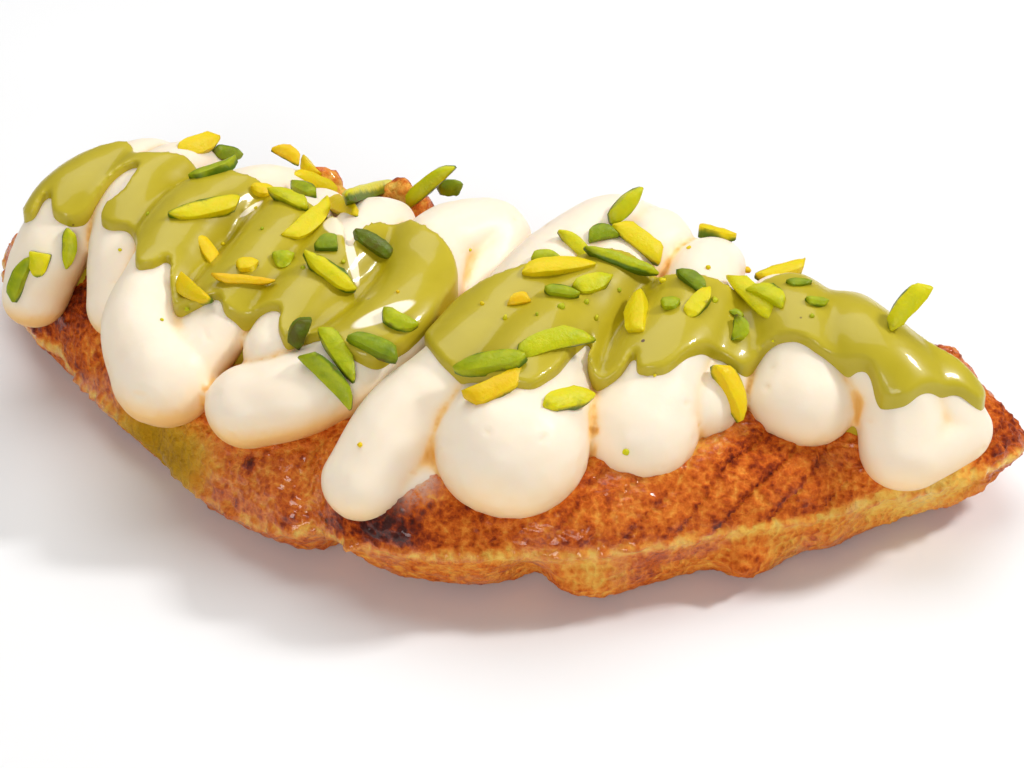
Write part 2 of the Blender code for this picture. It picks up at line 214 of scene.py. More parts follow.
def hermite(xs, values, x):
    """The value at x of a smooth curve through the given values."""
    slopes = np.gradient(values, xs)
    i = int(np.clip(np.searchsorted(xs, x) - 1, 0, len(xs) - 2))
    step = xs[i + 1] - xs[i]
    u = (x - xs[i]) / step
    start = values[i] * (1 + 2 * u) * (1 - u) ** 2 + slopes[i] * step * u * (1 - u) ** 2
    return start + values[i + 1] * u * u * (3 - 2 * u) + slopes[i + 1] * step * u * u * (u - 1)


def route(points, step):
    """Points at an even step along a smooth curve through the given rows of x, y, z and radius."""
    rows = np.array(points, float)
    lengths = np.concatenate([[0], np.cumsum(np.linalg.norm(np.diff(rows[:, :3], axis=0), axis=1))])
    marks = np.linspace(0, lengths[-1], max(2, int(lengths[-1] / step) + 1))
    return [[hermite(lengths, rows[:, k], mark) for k in range(4)] for mark in marks]


def grain(points, size, seed=0.0, octaves=1):
    """Smooth noise from about -1 to 1, whose lumps are about the given size."""
    shift = Vector((seed * 17.3, seed * 5.1, seed * 9.7))
    places = [Vector(row) / size + shift for row in points]
    if octaves == 1:
        return np.array([noise.noise(place) for place in places])
    return np.array([noise.fractal(place, 1.0, 2.0, octaves) for place in places])


def smooth_step(values, low, high):
    """Rises smoothly from 0 at low to 1 at high."""
    t = np.clip((values - low) / (high - low), 0, 1)
    return t * t * (3 - 2 * t)


# %% [markdown]
# ## Shader sums
# A material's nodes can be written as sums. A small class wraps a socket, so that `1 - mask`
# adds the Math node that works it out. Another holds the material and adds any other node from
# its type, its settings and the values or links of its sockets.

# %% Shader helper


def sign(operation, swapped=False):
    """What one of Python's signs does to a wire: it adds the Math node for it."""

    def work_out(wire, other):
        first, second = (other, wire) if swapped else (wire, other)
        return wire.finish.node("ShaderNodeMath", {"operation": operation}, {0: first, 1: second})

    return work_out


class Wire:
    """An output socket that Python's signs work on."""

    def __init__(self, finish, socket):
        self.finish, self.socket = finish, socket

    __add__ = __radd__ = sign("ADD")
    __mul__ = __rmul__ = sign("MULTIPLY")
    __sub__, __rsub__ = sign("SUBTRACT"), sign("SUBTRACT", swapped=True)


class Finish:
    """One material, built around a Principled shader."""

    def __init__(self, name, **constants):
        self.material = bpy.data.materials.new(name)
        self.material.use_nodes = True
        self.tree = self.material.node_tree
        self.shader = self.tree.nodes["Principled BSDF"]
        for socket, value in constants.items():
            self.shader.inputs[socket.replace("_", " ")].default_value = value

    def feed(self, socket, value):
        """Links a wire to a socket, or sets its value."""
        if isinstance(value, Wire):
            self.tree.links.new(value.socket, socket)
        else:
            socket.default_value = value

    def node(self, kind, settings=None, inputs=None, output=0):
        """Adds a node, sets it up and wires it, and gives back one of its outputs."""
        made = self.tree.nodes.new(kind)
        for name, value in (settings or {}).items():
            setattr(made, name, value)
        for name, value in (inputs or {}).items():
            self.feed(made.inputs[name], value)
        return Wire(self, made.outputs[output])

    def place(self):
        """Where a point lies on the object."""
        return self.node("ShaderNodeTexCoord", output="Object")

    def attribute(self, name):
        """A number stored on the mesh."""
        return self.node("ShaderNodeAttribute", {"attribute_name": name}, output="Fac")

    def cloud(self, vector, size, detail=2.0, roughness=0.5, twist=0.0):
        """Noise whose lumps are about the given size in millimetres."""
        values = {"Vector": vector, "Scale": 1 / (size * MM), "Detail": detail}
        values.update({"Roughness": roughness, "Distortion": twist})
        return self.node("ShaderNodeTexNoise", {}, values)

    def cells(self, vector, size):
        """How far each place is from the middle of its cell."""
        values = {"Vector": vector, "Scale": 1 / (size * MM)}
        return self.node("ShaderNodeTexVoronoi", {}, values, "Distance")

    def step(self, value, low, high):
        """Rises smoothly from 0 at low to 1 at high."""
        values = {"Value": value, "From Min": low, "From Max": high}
        return self.node("ShaderNodeMapRange", {"interpolation_type": "SMOOTHSTEP"}, values)

    def ramp(self, value, stops):
        """Looks a value up in a row of colours, each with its place from 0 to 1."""
        wire = self.node("ShaderNodeValToRGB", {}, {"Fac": value})
        elements = wire.socket.node.color_ramp.elements
        while len(elements) < len(stops):
            elements.new(1.0)
        for element, (place, *shade) in zip(elements, stops):
            element.position = place
            element.color = tint(*shade)
        return wire

    def mix(self, share, first, second):
        """Mixes two colours."""
        return self.node("ShaderNodeMix", {"data_type": "RGBA"}, {0: share, 6: first, 7: second}, 2)

    def bump(self, height, strength, depth):
        """Tilts the shading as a relief of the given depth in millimetres would."""
        values = {"Height": height, "Strength": strength, "Distance": depth * MM}
        return self.node("ShaderNodeBump", {}, values)

    def wear(self, **inputs):
        """Feeds the shader what changes over the surface."""
        for socket, value in inputs.items():
            self.feed(self.shader.inputs[socket.replace("_", " ")], value)
        return self.material


def tint(red, green, blue):
    """A colour as a screen shows it, from 0 to 255, brought to the shader's linear scale."""
    parts = [channel / 255 for channel in (red, green, blue)]
    return (*(c / 12.92 if c <= 0.04045 else ((c + 0.055) / 1.055) ** 2.4 for c in parts), 1)


# %% [markdown]
# ## The croissant's form
# On the real thing the dough is rolled in bands, and the hot iron flattens it. Its top slopes
# from a crown to a nubbly parting line low on the front, and a steep wall drops from there to
# the flat base. A sphere drawn out to that section is the quickest way to such a form: its
# poles are the two ends, and each point's angle says whether it is crown, shoulder or wall.

# %% Croissant sizes
HALF_LENGTH = 91.0
AROUND, ALONG = 240, 380
FRONT_SHARE, TOP_SHARE = 0.35, 0.5  # how much closer the rows lie on the front and on the top
STATIONS = np.array((  # x, front edge, back edge, top, underside, height of the parting line
    (-91, 13, 29, 15.5, 3.5, 8),
    (-80, 3, 34, 19, 1.5, 7),
    (-66, -7, 37, 22, -0.2, 7),
    (-50, -18, 39, 24, -0.5, 7),
    (-34, -29, 40, 25, -0.5, 7),
    (-18, -36, 41, 25.5, -0.5, 7.5),
    (0, -39.5, 41, 26, -0.5, 10.5),
    (16, -38.5, 41, 26, -0.5, 12),
    (32, -32.5, 40, 25.5, -0.5, 12),
    (48, -23, 38, 24.5, -0.5, 12),
    (62, -12, 36, 23, -0.5, 11.5),
    (76, -0.5, 33, 20.5, 2, 11),
    (85, 6.5, 30, 18.5, 3, 11),
    (91, 12, 28, 19, 5, 11),
))
SEAMS = ((-68, 1.6), (-41, 2.2), (-6, 2.4), (25, 0.7), (51, 0.7), (72, 1.2))  # x and depth
SEAM_REACH, SEAM_LEAN = 3.6, 9.0
LEDGE = 1.4  # how far the wall stands back under the parting line
FEET = (  # x, reach along the front and how much further out the foot stands
    (-5, 3.0, -4.0), (25.5, 3.2, -4.0), (35.5, 6.5, 4.5), (57, 4.0, 6.0), (67, 3.0, 2.0),
)
CRAGS = (  # x, y, reach along and across, and height
    (-35, 33, 6, 4.5, 11.0), (-20, 33, 7, 4.5, 11.0), (77, 27, 5, 4, 4.0),
)
TIP_POWER = 14  # the higher, the blunter both ends
TOP_POWERS, WALL_POWERS = (0.85, 0.9), (0.42, 0.75)  # the lower, the squarer the section

# %% Croissant form


def signed_power(value, power):
    """A power that keeps the sign."""
    return np.sign(value) * np.abs(value) ** power


def along_table(column, x):
    """One of the stations' columns, read off smoothly at every x."""
    grid = np.linspace(-HALF_LENGTH, HALF_LENGTH, 600)
    line = [hermite(STATIONS[:, 0], STATIONS[:, column], place) for place in grid]
    return np.interp(x, grid, line)


def seam_relief(x, climb):
    """How deep the dough is drawn in near a seam between two rolled bands."""
    place = x + SEAM_LEAN * climb
    return sum(depth * np.exp(-((place - seam) / SEAM_REACH) ** 2) for seam, depth in SEAMS)


def ridge_height(x):
    """How high the parting line runs at every x."""
    middle = 0.5 * (along_table(3, x) + along_table(4, x))
    return np.minimum(along_table(5, x), middle + 1)


def foot_reach(x):
    """How much further the foot of the front reaches at every x."""
    return sum(out * np.exp(-((x - place) / reach) ** 2) for place, reach, out in FEET)


def crag_height(x, y):
    """How much higher the top stands where flakes of crust stick up."""
    return sum(
        high * np.exp(-((x - cx) / along) ** 2 - ((y - cy) / across) ** 2)
        for cx, cy, along, across, high in CRAGS
    )


def crust_form(sphere):
    """Draws the points of a unit sphere, whose poles lie on X, out to the croissant's skin."""
    t = 0.5 * sphere[:, 0] + np.arcsin(np.clip(sphere[:, 0], -1, 1)) / pi
    x = HALF_LENGTH * t
    front, back, top, under = (along_table(k, x) for k in range(1, 5))
    blunt = np.clip(1 - np.abs(t) ** TIP_POWER, 0, None) ** 0.5
    around = np.arctan2(sphere[:, 2], sphere[:, 1])
    angle = around + FRONT_SHARE * np.sin(around) + TOP_SHARE * np.cos(around)
    climb = np.sin(angle)
    ridge = ridge_height(x)
    drawn = seam_relief(x, climb)
    half, middle = 0.5 * (back - front) - drawn, 0.5 * (front + back)
    rising = np.clip(climb, 0, None)
    y_top = middle + half * blunt * signed_power(np.cos(angle), TOP_POWERS[0])
    z_top = ridge + (top - drawn - ridge) * blunt * rising ** TOP_POWERS[1]
    z_top += crag_height(x, y_top) * np.minimum(1, rising * 2)
    falling = np.clip(-climb, 0, None)
    low_half = half - LEDGE * np.minimum(1, falling * 4)
    low_half = low_half + np.where(np.cos(angle) < 0, foot_reach(x) * np.minimum(1, falling * 3), 0)
    y_low = middle + low_half * blunt * signed_power(np.cos(angle), WALL_POWERS[0])
    z_low = ridge - (ridge - under) * blunt * falling ** WALL_POWERS[1]
    upper = climb > 0
    return np.stack([x, np.where(upper, y_top, y_low), np.where(upper, z_top, z_low)], axis=1)


def make_crust():
    """The croissant's smooth form with its flat base."""
    bm = bmesh.new()
    bmesh.ops.create_uvsphere(bm, u_segments=AROUND, v_segments=ALONG, radius=1)
    bmesh.ops.rotate(bm, matrix=Matrix.Rotation(pi / 2, 3, "Y"), verts=bm.verts)
    places = crust_form(np.array([vert.co[:] for vert in bm.verts]))
    for vert, place in zip(bm.verts, places):
        vert.co = place
    geometry = bm.verts[:] + bm.edges[:] + bm.faces[:]
    cut = bmesh.ops.bisect_plane(bm, geom=geometry, plane_co=Vector(), plane_no=UP, clear_inner=True)
    rim = [item for item in cut["geom_cut"] if isinstance(item, bmesh.types.BMEdge)]
    bmesh.ops.contextual_create(bm, geom=rim)
    bmesh.ops.triangulate(bm, faces=bm.faces)
    bmesh.ops.recalc_face_normals(bm, faces=bm.faces)
    return new_object("crust", bm)


crust = make_crust()
smooth_form = points_of(crust)
print("crust:", len(crust.data.polygons), "triangles")

# %% [markdown]
# ## The croissant's skin
# The real skin is never smooth. The parting line is a row of nubs where sugar boiled out, the
# front is crossed by leaning edges of rolled dough, thin flakes end in little steps, and small
# bubbles cover much of it. Each of these pushes the skin out or in, and all of them fade out
# towards the flat base.

# %% Skin sizes
SWELL, SWELL_SIZE = 0.55, 15.0
LAYER_STEP, LAYER_RISE, GROOVE_DEPTH, GROOVE_WIDTH = 6.4, 0.7, 0.5, 0.75
LAYER_LEAN = 0.9
FLAKE_RISE, FLAKE_SIZE = 0.30, 12.0
NUB_RISE, NUB_SIZE, NUB_BAND = 1.3, 2.0, 0.95
BUBBLE_RISE, BUBBLE_SIZE = 0.36, 2.0
SKIN_GRAINS = ((0.26, 1.4, 6), (0.14, 0.9, 7))  # height, size and seed of each
TIP_GRAINS = ((0.7, 2.6, 8), (0.4, 1.3, 9))
CRAG_GRAINS = ((1.0, 3.2, 16), (0.6, 1.5, 17))

# %% Places in the picture


def picture_place(points):
    """Where points lie in the picture, in its own pixels."""
    away = points - np.array(TARGET)
    depth = DISTANCE - away @ np.array(BACK)
    across = AIM[0] + FOCAL * (away @ np.array(RIGHT)) / depth
    down = AIM[1] - FOCAL * (away @ np.array(ABOVE)) / depth
    return across, down


FACES_FRONT = smooth_step(normals_of(crust) @ np.array(BACK), 0.0, 0.25)
PICTURE = picture_place(smooth_form)


def picture_patch(picture, px, py, wide, high, turn):
    """A soft oval round a place in the picture, for points whose places there are given."""
    across, down = picture[0] - px, picture[1] - py
    c, s = cos(radians(turn)), sin(radians(turn))
    u, v = (c * across + s * down) / wide, (c * down - s * across) / high
    return np.exp(-(u ** 2 + v ** 2) ** 1.5)


def patch(px, py, wide, high, turn):
    """A soft patch of skin on the side that the picture shows, named by its place there."""
    return FACES_FRONT * picture_patch(PICTURE, px, py, wide, high, turn)


# %% Skin relief


def above_ridge(points):
    """How far above the parting line each point lies."""
    return points[:, 2] - ridge_height(points[:, 0])


def parting_line(points):
    """How close the skin is to the line where the top shell meets the wall."""
    return np.exp(-((above_ridge(points) - 0.3 + 0.6 * grain(points, 7, 15)) / NUB_BAND) ** 2)


def leaning_edges(points):
    """How close the skin is to a leaning edge of dough, and how far past the last one."""
    x, above = points[:, 0], above_ridge(points)
    leaning = (x - LAYER_LEAN * above + 2.2 * grain(points, 12, 1)) / LAYER_STEP
    strength = smooth_step(above, 0.3, 2) * (0.4 + 0.6 * np.exp(-((x - 56) / 20) ** 2))
    away = np.abs(leaning - np.round(leaning)) * LAYER_STEP
    groove = np.exp(-(away / GROOVE_WIDTH) ** 2)
    return strength * groove, strength * (leaning - np.floor(leaning))


def bubbles(points, size, seed):
    """Small domes with creases between them, from 0 in the creases to 1 on the tops."""
    shift = Vector((seed, seed, seed))
    near = [noise.voronoi(Vector(row) / size + shift)[0] for row in points]
    return np.array([min(1.0, (away[1] - away[0]) * 1.6) for away in near])


def flake_steps(points, size, seed):
    """Little steps like the edges of thin layers, which rise at once and fall slowly."""
    layers = grain(points * np.array((0.5, 1, 2.4)), size, seed, 3) * 3.2
    inside = layers - np.floor(layers)
    return smooth_step(inside, 0.0, 0.22) - inside


def grains(points, rows):
    """The sum of several noises, each with its height, size and seed."""
    return sum(height * grain(points, size, seed) for height, size, seed in rows)


def skin_relief(points):
    """How far each point of the skin stands out, in millimetres."""
    x, y, z = points.T
    groove, past = leaning_edges(points)
    nubs = np.clip(grain(points, NUB_SIZE, 5) + 0.25, 0, 1)
    bubbly = smooth_step(grain(points, 7, 10), -0.35, 0.25)
    relief = SWELL * grain(points, SWELL_SIZE, 2)
    relief += LAYER_RISE * past - GROOVE_DEPTH * groove * (0.8 + 0.6 * grain(points, 11, 3))
    relief += FLAKE_RISE * flake_steps(points, FLAKE_SIZE, 4)
    relief += parting_line(points) * (0.3 + NUB_RISE * nubs)
    relief += BUBBLE_RISE * bubbles(points, BUBBLE_SIZE, 6) * bubbly
    relief += grains(points, SKIN_GRAINS)
    relief += smooth_step(crag_height(x, y), 3, 7) * grains(points, CRAG_GRAINS)
    relief += smooth_step(np.abs(x), 76, 90) * grains(points, TIP_GRAINS)
    return relief * smooth_step(z, 0.0, 1.8)


push_out(crust, skin_relief(smooth_form))
settled = points_of(crust)
settled[:, 2] = np.clip(settled[:, 2], 0, None)
move_points(crust, settled)
print("crust relief done")

# %% [markdown]
# ## How well each place is baked
# The iron caramelises what it presses hardest: crests and edges go mahogany, the hollow under
# the cream is nearly black, and dough that the iron never touched stays pale. A number from 0,
# pale dough, to 1, burnt, is stored on each vertex; it also carries a thin band of painted shade
# along the parting line. Soft patches set it where the photograph shows a change of colour. Three
# more numbers say where there is melted sugar, raw dough and spilt cream.

# %% Bake map
MAIN_BAKE, WALL_BAKE, GOLDEN_BAKE = 0.52, 0.46, 0.20
GROOVE_BAKE, FOOT_BAKE, CREST_BAKE = 0.24, 0.08, 0.16
PATCHES = (  # place in the picture, half width, half height, turn, bake there, strength
    (165, 450, 62, 42, 35, 0.16, 1),
    (375, 185, 80, 32, 5, 0.16, 1),
    (70, 300, 34, 60, 60, 0.78, 1),
    (95, 375, 26, 42, 60, 0.54, 1),
    (262, 492, 66, 46, 25, 0.52, 0.9),
    (250, 463, 7, 9, 0, 0.95, 1),
    (322, 470, 14, 46, 30, 0.46, 0.9),
    (352, 500, 12, 30, 30, 0.74, 0.8),
    (384, 520, 44, 26, 15, 0.97, 1),
    (450, 512, 46, 22, 10, 0.6, 0.7),
    (540, 530, 70, 16, 0, 0.56, 0.8),
    (690, 440, 62, 20, -22, 0.34, 1),
    (760, 440, 26, 40, 20, 0.7, 0.7),
    (830, 490, 60, 24, -12, 0.55, 0.9),
    (925, 484, 70, 26, -22, 0.1, 1),
    (1002, 432, 22, 46, 10, 0.66, 1),
    (952, 372, 24, 20, 30, 0.52, 0.9),
    (478, 572, 90, 22, 4, 0.42, 0.8),
    (598, 576, 30, 20, 0, 0.26, 0.9),
    (650, 572, 10, 26, 30, 0.62, 0.7),
    (715, 556, 40, 18, -10, 0.44, 0.8),
)


def bake_and_shade_map(points):
    """How dark the crust is baked at each vertex, plus a thin band of painted shade along the parting line.
    """
    above = above_ridge(points)
    bake_and_shade = WALL_BAKE + (MAIN_BAKE - WALL_BAKE) * smooth_step(above, -1, 1)
    bake_and_shade += 0.10 * grain(points, 12, 11, 2)
    groove, past = leaning_edges(points)
    bake_and_shade += GROOVE_BAKE * groove * (0.8 + 0.6 * grain(points, 8, 14))
    bake_and_shade += 0.10 * (past - 0.5) * (past > 0)
    bake_and_shade += FOOT_BAKE * (1 - smooth_step(points[:, 2], 0, 3))
    for px, py, wide, high, turn, level, strength in PATCHES:
        bake_and_shade += (level - bake_and_shade) * strength * patch(px, py, wide, high, turn)
    golden = parting_line(points) * (1.0 + 0.6 * grain(points, 6, 12)) * (bake_and_shade < 0.9)
    bake_and_shade += (GOLDEN_BAKE - bake_and_shade) * np.clip(golden, 0, 1)
    # Painted shade: a thin darker band 2.6 mm above the parting line, for the shadow along its nubs.
    bake_and_shade += 0.08 * np.exp(-((above - 2.6) / 1.0) ** 2)
    bake_and_shade -= np.clip(0.35 * hollows(crust, 6), -CREST_BAKE, CREST_BAKE)
    return np.clip(bake_and_shade, 0, 1)


# %% Gloss, raw dough and spilt cream
RAW_DOUGH, SPILT_CREAM = (160, 448, 56, 40, 35), (418, 466, 24, 36, 12)
GLOSSY = (  # strength, then place in the picture, half width, half height and turn
    (0.9, 270, 480, 80, 50, 25),
    (0.7, 690, 440, 70, 24, -22),
    (0.4, 60, 290, 30, 50, 60),
)


def gloss_map(points, raw):
    """How much melted sugar lies on each vertex."""
    gloss = 0.35 + sum(strength * patch(*row) for strength, *row in GLOSSY)
    return gloss + 0.5 * grain(points, 9, 13) - 0.4 * raw + 0.35 * parting_line(points)


bake_and_shade = bake_and_shade_map(settled)
raw = np.clip(1.3 * patch(*RAW_DOUGH) - 0.15, 0, 1)
store(crust, "raw", raw)
store(crust, "bake_and_shade", bake_and_shade)
store(crust, "gloss", np.clip(gloss_map(settled, raw), 0, 1))
store(crust, "milk", patch(*SPILT_CREAM))
print("bake from", round(float(bake_and_shade.min()), 2), "to", round(float(bake_and_shade.max()), 2))

# %% [markdown]
# ## Crust material
# The colour comes from the bake map through a row of baked colours, from pale dough to burnt
# sugar. Streaks, blotches, specks and small domes move the bake up and down, less on pale dough
# than on dark crust, so that no two places match. Melted sugar is a thin coat that is thick in
# some places and missing in others.

# %% Crust material
BAKED = (  # bake, then the colour as a screen shows it
    (0.00, 252, 214, 116),
    (0.16, 250, 198, 88),
    (0.30, 243, 160, 62),
    (0.44, 228, 122, 38),
    (0.58, 200, 88, 18),
    (0.72, 150, 54, 10),
    (0.86, 104, 30, 8),
    (1.00, 64, 16, 8),
)


def crust_material():
    """Caramelised dough: mottled, streaked along its bands and glossy in patches."""
    finish = Finish("crust", Coat_Roughness=0.09, Specular_IOR_Level=0.12)
    place = finish.place()
    lean = {"Vector": place, "Rotation": (0, radians(-40), 0), "Scale": (1.0, 1.0, 0.28)}
    leaning = finish.node("ShaderNodeMapping", {}, lean)
    streaks = finish.cloud(leaning, 1.9, 3)
    blotches = finish.cloud(place, 5.5, 4, 0.6, 0.4)
    specks = finish.cloud(place, 0.7, 4, 0.7)
    domes = finish.cells(place, 1.1)
    # The bake map, which also holds the thin band of painted shade along the parting line.
    bake_and_shade = finish.attribute("bake_and_shade")
    mottle = 0.46 * (streaks - 0.5) + 0.36 * (blotches - 0.5)
    mottle = mottle + 0.55 * (specks - 0.5) - 0.26 * (domes - 0.4)
    tone = bake_and_shade + (0.42 + bake_and_shade) * mottle
    colour = finish.ramp(tone, BAKED)
    dough = finish.mix(blotches, tint(160, 106, 8), tint(224, 176, 30))
    colour = finish.mix(finish.attribute("raw"), colour, dough)
    milk = finish.attribute("milk") * finish.step(blotches + specks, 0.8, 1.15)
    colour = finish.mix(milk, colour, tint(232, 200, 180))
    gloss = finish.attribute("gloss")
    height = 0.5 * specks + 0.4 * blotches + 0.3 * streaks - 0.4 * domes
    return finish.wear(
        Base_Color=colour,
        Roughness=0.58 - 0.34 * gloss + 0.2 * (specks - 0.5),
        Coat_Weight=finish.step(gloss + 1.4 * (blotches - 0.5), 0.3, 0.75) * 0.7,
        Normal=finish.bump(height, 1.0, 1.1),
    )


crust.data.materials.append(crust_material())
print("crust material done")

# %% [markdown]
# ## Piped cream
# A piping bag leaves a rope, thick where the hand paused and thin where it pulled away. Each
# rope is a chain of closely set balls along its own curve, and a voxel remesh melts the chains
# of one mass into one skin, with a crease wherever two ropes meet. Balls were chosen over a
# swept tube, because their size can change freely and a U-turn can't fold the skin.

# %% Cream ropes
ROPES_LEFT = (  # x, y, height and radius along each rope's centre line, front end first
    ((-72, -4, 18, 5.7), (-71, 0, 24, 6.5), (-69, 7, 29, 6.3), (-66, 15, 31, 5.5), (-63, 23, 31, 4.5),
     (-62, 28, 27, 4.5)),
    ((-54, -7, 22, 6.1), (-57, 2, 28, 6.4), (-59, 11, 31, 6.1), (-57, 20, 32, 5.2), (-56, 27, 29, 5)),
    ((-38, -24, 23, 8.8), (-45, -17, 27, 6.7), (-46, -8, 30, 6), (-45, 8, 32, 6.2), (-40, 20, 31, 5.6),
     (-38, 27, 27, 5)),
    ((-35, -21, 25, 6), (-32, -13, 29, 5.8), (-30, -2, 31, 6.2), (-30, 12, 31, 6), (-30, 20, 28, 6)),
    ((-22, -27, 23, 7.2), (-15, -24, 25, 7.3), (-9, -19, 27, 7), (-4, -9, 30, 6.4), (-4, 2, 31, 5.8)),
    ((-4, 2, 31, 5.8), (-6, 12, 32, 6.6), (-3, 19, 31, 6.9), (0, 22, 30, 6.8), (1, 15, 28, 5.8),
     (1.5, 8, 27, 4.6)),
    ((-21, -18, 28, 5.6), (-20, -7, 30, 6.1), (-18, 6, 32, 6.2), (-18, 15, 32, 5.6), (-18, 21, 29, 5)),
)
BED_LEFT = (
    (-66, 12, 25, 6), (-52, 8, 26, 8), (-38, -8, 26, 6.5), (-28, 6, 26, 9), (-18, -12, 26, 7.5),
    (-12, 6, 26, 8),
)
ROPES_RIGHT = (
    ((0, -33.5, 19, 6.9), (2.5, -27, 24, 7.3), (9.5, -16, 29, 7.8), (12.5, -4, 31, 8.2), (16, 11, 33, 8.2),
     (21, 23, 35, 6.6), (25, 30, 30, 6)),
    ((21, -25.5, 25, 11.9), (20, -13, 29, 9.6), (21, 0, 31, 8), (24, 14, 33, 7.2), (28, 24, 34, 6)),
    ((37, -12.5, 23.5, 9.6), (38, -4, 29, 7.8), (39, 7, 31, 7), (38, 19, 33, 5.7), (37, 27, 29, 5.5)),
    ((44, -4.5, 25, 7), (46, 4, 28, 6)),
    ((59, 2.5, 25, 9), (57, 9, 30, 7.6), (52, 15, 31, 6.4), (50, 22, 28, 5.5)),
    ((76, 1.5, 20, 7.4), (73, 6, 27, 6.8), (66, 9, 31, 6.4), (62, 14, 30, 6), (62, 21, 26, 5)),
    ((82, 8, 20.5, 6.2), (79, 9, 25, 5.8), (71, 13, 28, 5.5)),
    ((76, 1.5, 20, 7.4), (82, 8, 20.5, 6.2)),
    ((4, -31, 18, 5.5), (10, -27, 19.5, 5)),
    ((27.5, -17.5, 21, 4.5), (31.5, -14, 21, 4.5)),
)
BED_RIGHT = ((16, -4, 26, 9), (26, 10, 26, 10), (36, 8, 26, 9), (50, 10, 26, 8.5), (64, 10, 25, 7))
BEAD_STEP = 1.2
SAG = 0.9
CREAM_VOXEL = 0.62

# %% Cream form


def add_beads(bm, points):
    """Strings closely set balls along a rope."""
    for x, y, z, radius in route(points, BEAD_STEP):
        place = Matrix.LocRotScale(Vector((x, y, z)), None, Vector((1, 1, SAG)))
        bmesh.ops.create_icosphere(bm, subdivisions=3, radius=radius, matrix=place)


def make_piping(name, ropes, bed):
    """One mass of cream."""
    bm = bmesh.new()
    for points in ropes + (bed,):
        add_beads(bm, points)
    piping = new_object(name, bm)
    fuse(piping, CREAM_VOXEL, 5)
    return piping


def cream_ripples(points):
    """The slow waves and small dimples that a piping bag leaves."""
    waves = 0.32 * grain(points * np.array((1, 0.7, 1)), 9, 21)
    return waves + 0.10 * grain(points, 3.2, 22) - 0.25 * smooth_step(grain(points, 2.4, 23), 0.55, 0.75)


piping = {}
for side, ropes, bed in (("left", ROPES_LEFT, BED_LEFT), ("right", ROPES_RIGHT, BED_RIGHT)):
    piping[side] = make_piping("cream_mass_" + side, ropes, bed)
    push_out(piping[side], cream_ripples(points_of(piping[side])))
    print(side, "cream:", len(piping[side].data.polygons), "triangles")

# %% [markdown]
# ## Sauce
# Poured sauce follows whatever it runs over, about one and a half millimetres thick, and ends
# in a rounded rim and a few drips. So it starts as a copy of the cream whose skin stands that
# much further out. An upright prism over the pool's outline keeps the part inside it, a second
# remesh rounds the rim, and the cream is cut away again, which leaves a clean pool.

# %% Sauce outlines
SAUCE_THICKNESS = 1.6
SAUCE_SINK = 0.25  # how far the sauce reaches into the cream
SAUCE_VOXEL = 0.5
PRISM_BOTTOM, PRISM_TOP = 18.0, 60.0
OUTLINE_STEP = 0.8
SAUCE_LEFT = (
    (-76, 1.5), (-74.5, -0.5), (-73, -0.5), (-72.5, 2.5), (-71.8, 4.5), (-70.7, 2), (-69, -0.2), (-66.5, 0),
    (-64.5, 2.2), (-63.5, 6), (-62, 10.5), (-59.5, 12.5), (-58.7, 8.5), (-59.2, 4.5), (-61, 2), (-60.5, 0),
    (-58, -1.5), (-55, -1), (-51, -6), (-46.5, -13), (-44.5, -11.5), (-43.5, -9), (-41.5, -13.5),
    (-37, -18.5), (-34, -17), (-32, -15.5), (-30, -17.5), (-27.5, -17), (-24, -15.5), (-21.5, -15.5),
    (-20, -19.5), (-17.5, -21.5), (-16, -19), (-12, -19), (-6, -22), (-3.5, -21.5), (-0.5, -17), (1.5, -11),
    (2, -3), (1.5, 3), (-1.5, 6.5), (-6, 8.5), (-11, 10.5), (-15, 7.5), (-16, 3), (-14.7, -3), (-17, 1),
    (-18.5, 4), (-24, 9), (-30, 11.5), (-36, 14.5), (-42, 14), (-47, 16.5), (-53, 18.5), (-58, 16),
    (-61, 15.5), (-64, 18.5), (-68, 17), (-72, 13), (-75, 8),
)
SAUCE_RIGHT = (
    (14, 1.5), (10, -1.5), (6.5, -4), (3, -8), (1.8, -12), (4, -17), (8, -21.5), (13, -23.5), (18.5, -25),
    (23.5, -24.5), (25.5, -20.5), (26.5, -13), (27.8, -5), (28, -9), (28.5, -12.5), (30.5, -14),
    (33.5, -12.5), (35, -8.5), (36.5, -12), (39.5, -11.5), (43, -6), (45.5, -2.5), (50, -2), (53, 2),
    (57, 2.8), (61, 2), (65.5, 1.5), (69, 1.5), (72.5, -1.2), (75.5, -0.5), (78, 2.5), (82, 6), (86, 8),
    (86, 10.5), (82, 11.5), (77, 12), (72, 14), (68, 18.5), (64, 18.5), (60, 17), (55, 18), (50, 15),
    (45, 11), (41, 10), (35, 10), (30, 11.5), (24.5, 10), (19.5, 5.5),
)

# %% Sauce form


def grown(obj, distance):
    """A copy whose skin stands the given distance further out."""
    twin = bpy.data.objects.new(obj.name + "_grown", obj.data.copy())
    bpy.context.scene.collection.objects.link(twin)
    push_out(twin, np.full(len(twin.data.vertices), distance))
    return twin


def make_prism(outline):
    """An upright prism over a smooth closed outline."""
    loop = outline + outline[:1]
    bm = bmesh.new()
    points = route([(x, y, PRISM_BOTTOM, 0) for x, y in loop], OUTLINE_STEP)[:-1]
    base = bm.faces.new([bm.verts.new(point[:3]) for point in points])
    sides = bmesh.ops.extrude_face_region(bm, geom=[base])
    risen = [item for item in sides["geom"] if isinstance(item, bmesh.types.BMVert)]
    bmesh.ops.translate(bm, vec=(0, 0, PRISM_TOP - PRISM_BOTTOM), verts=risen)
    bmesh.ops.triangulate(bm, faces=bm.faces)
    bmesh.ops.recalc_face_normals(bm, faces=bm.faces)
    return new_object("prism", bm)


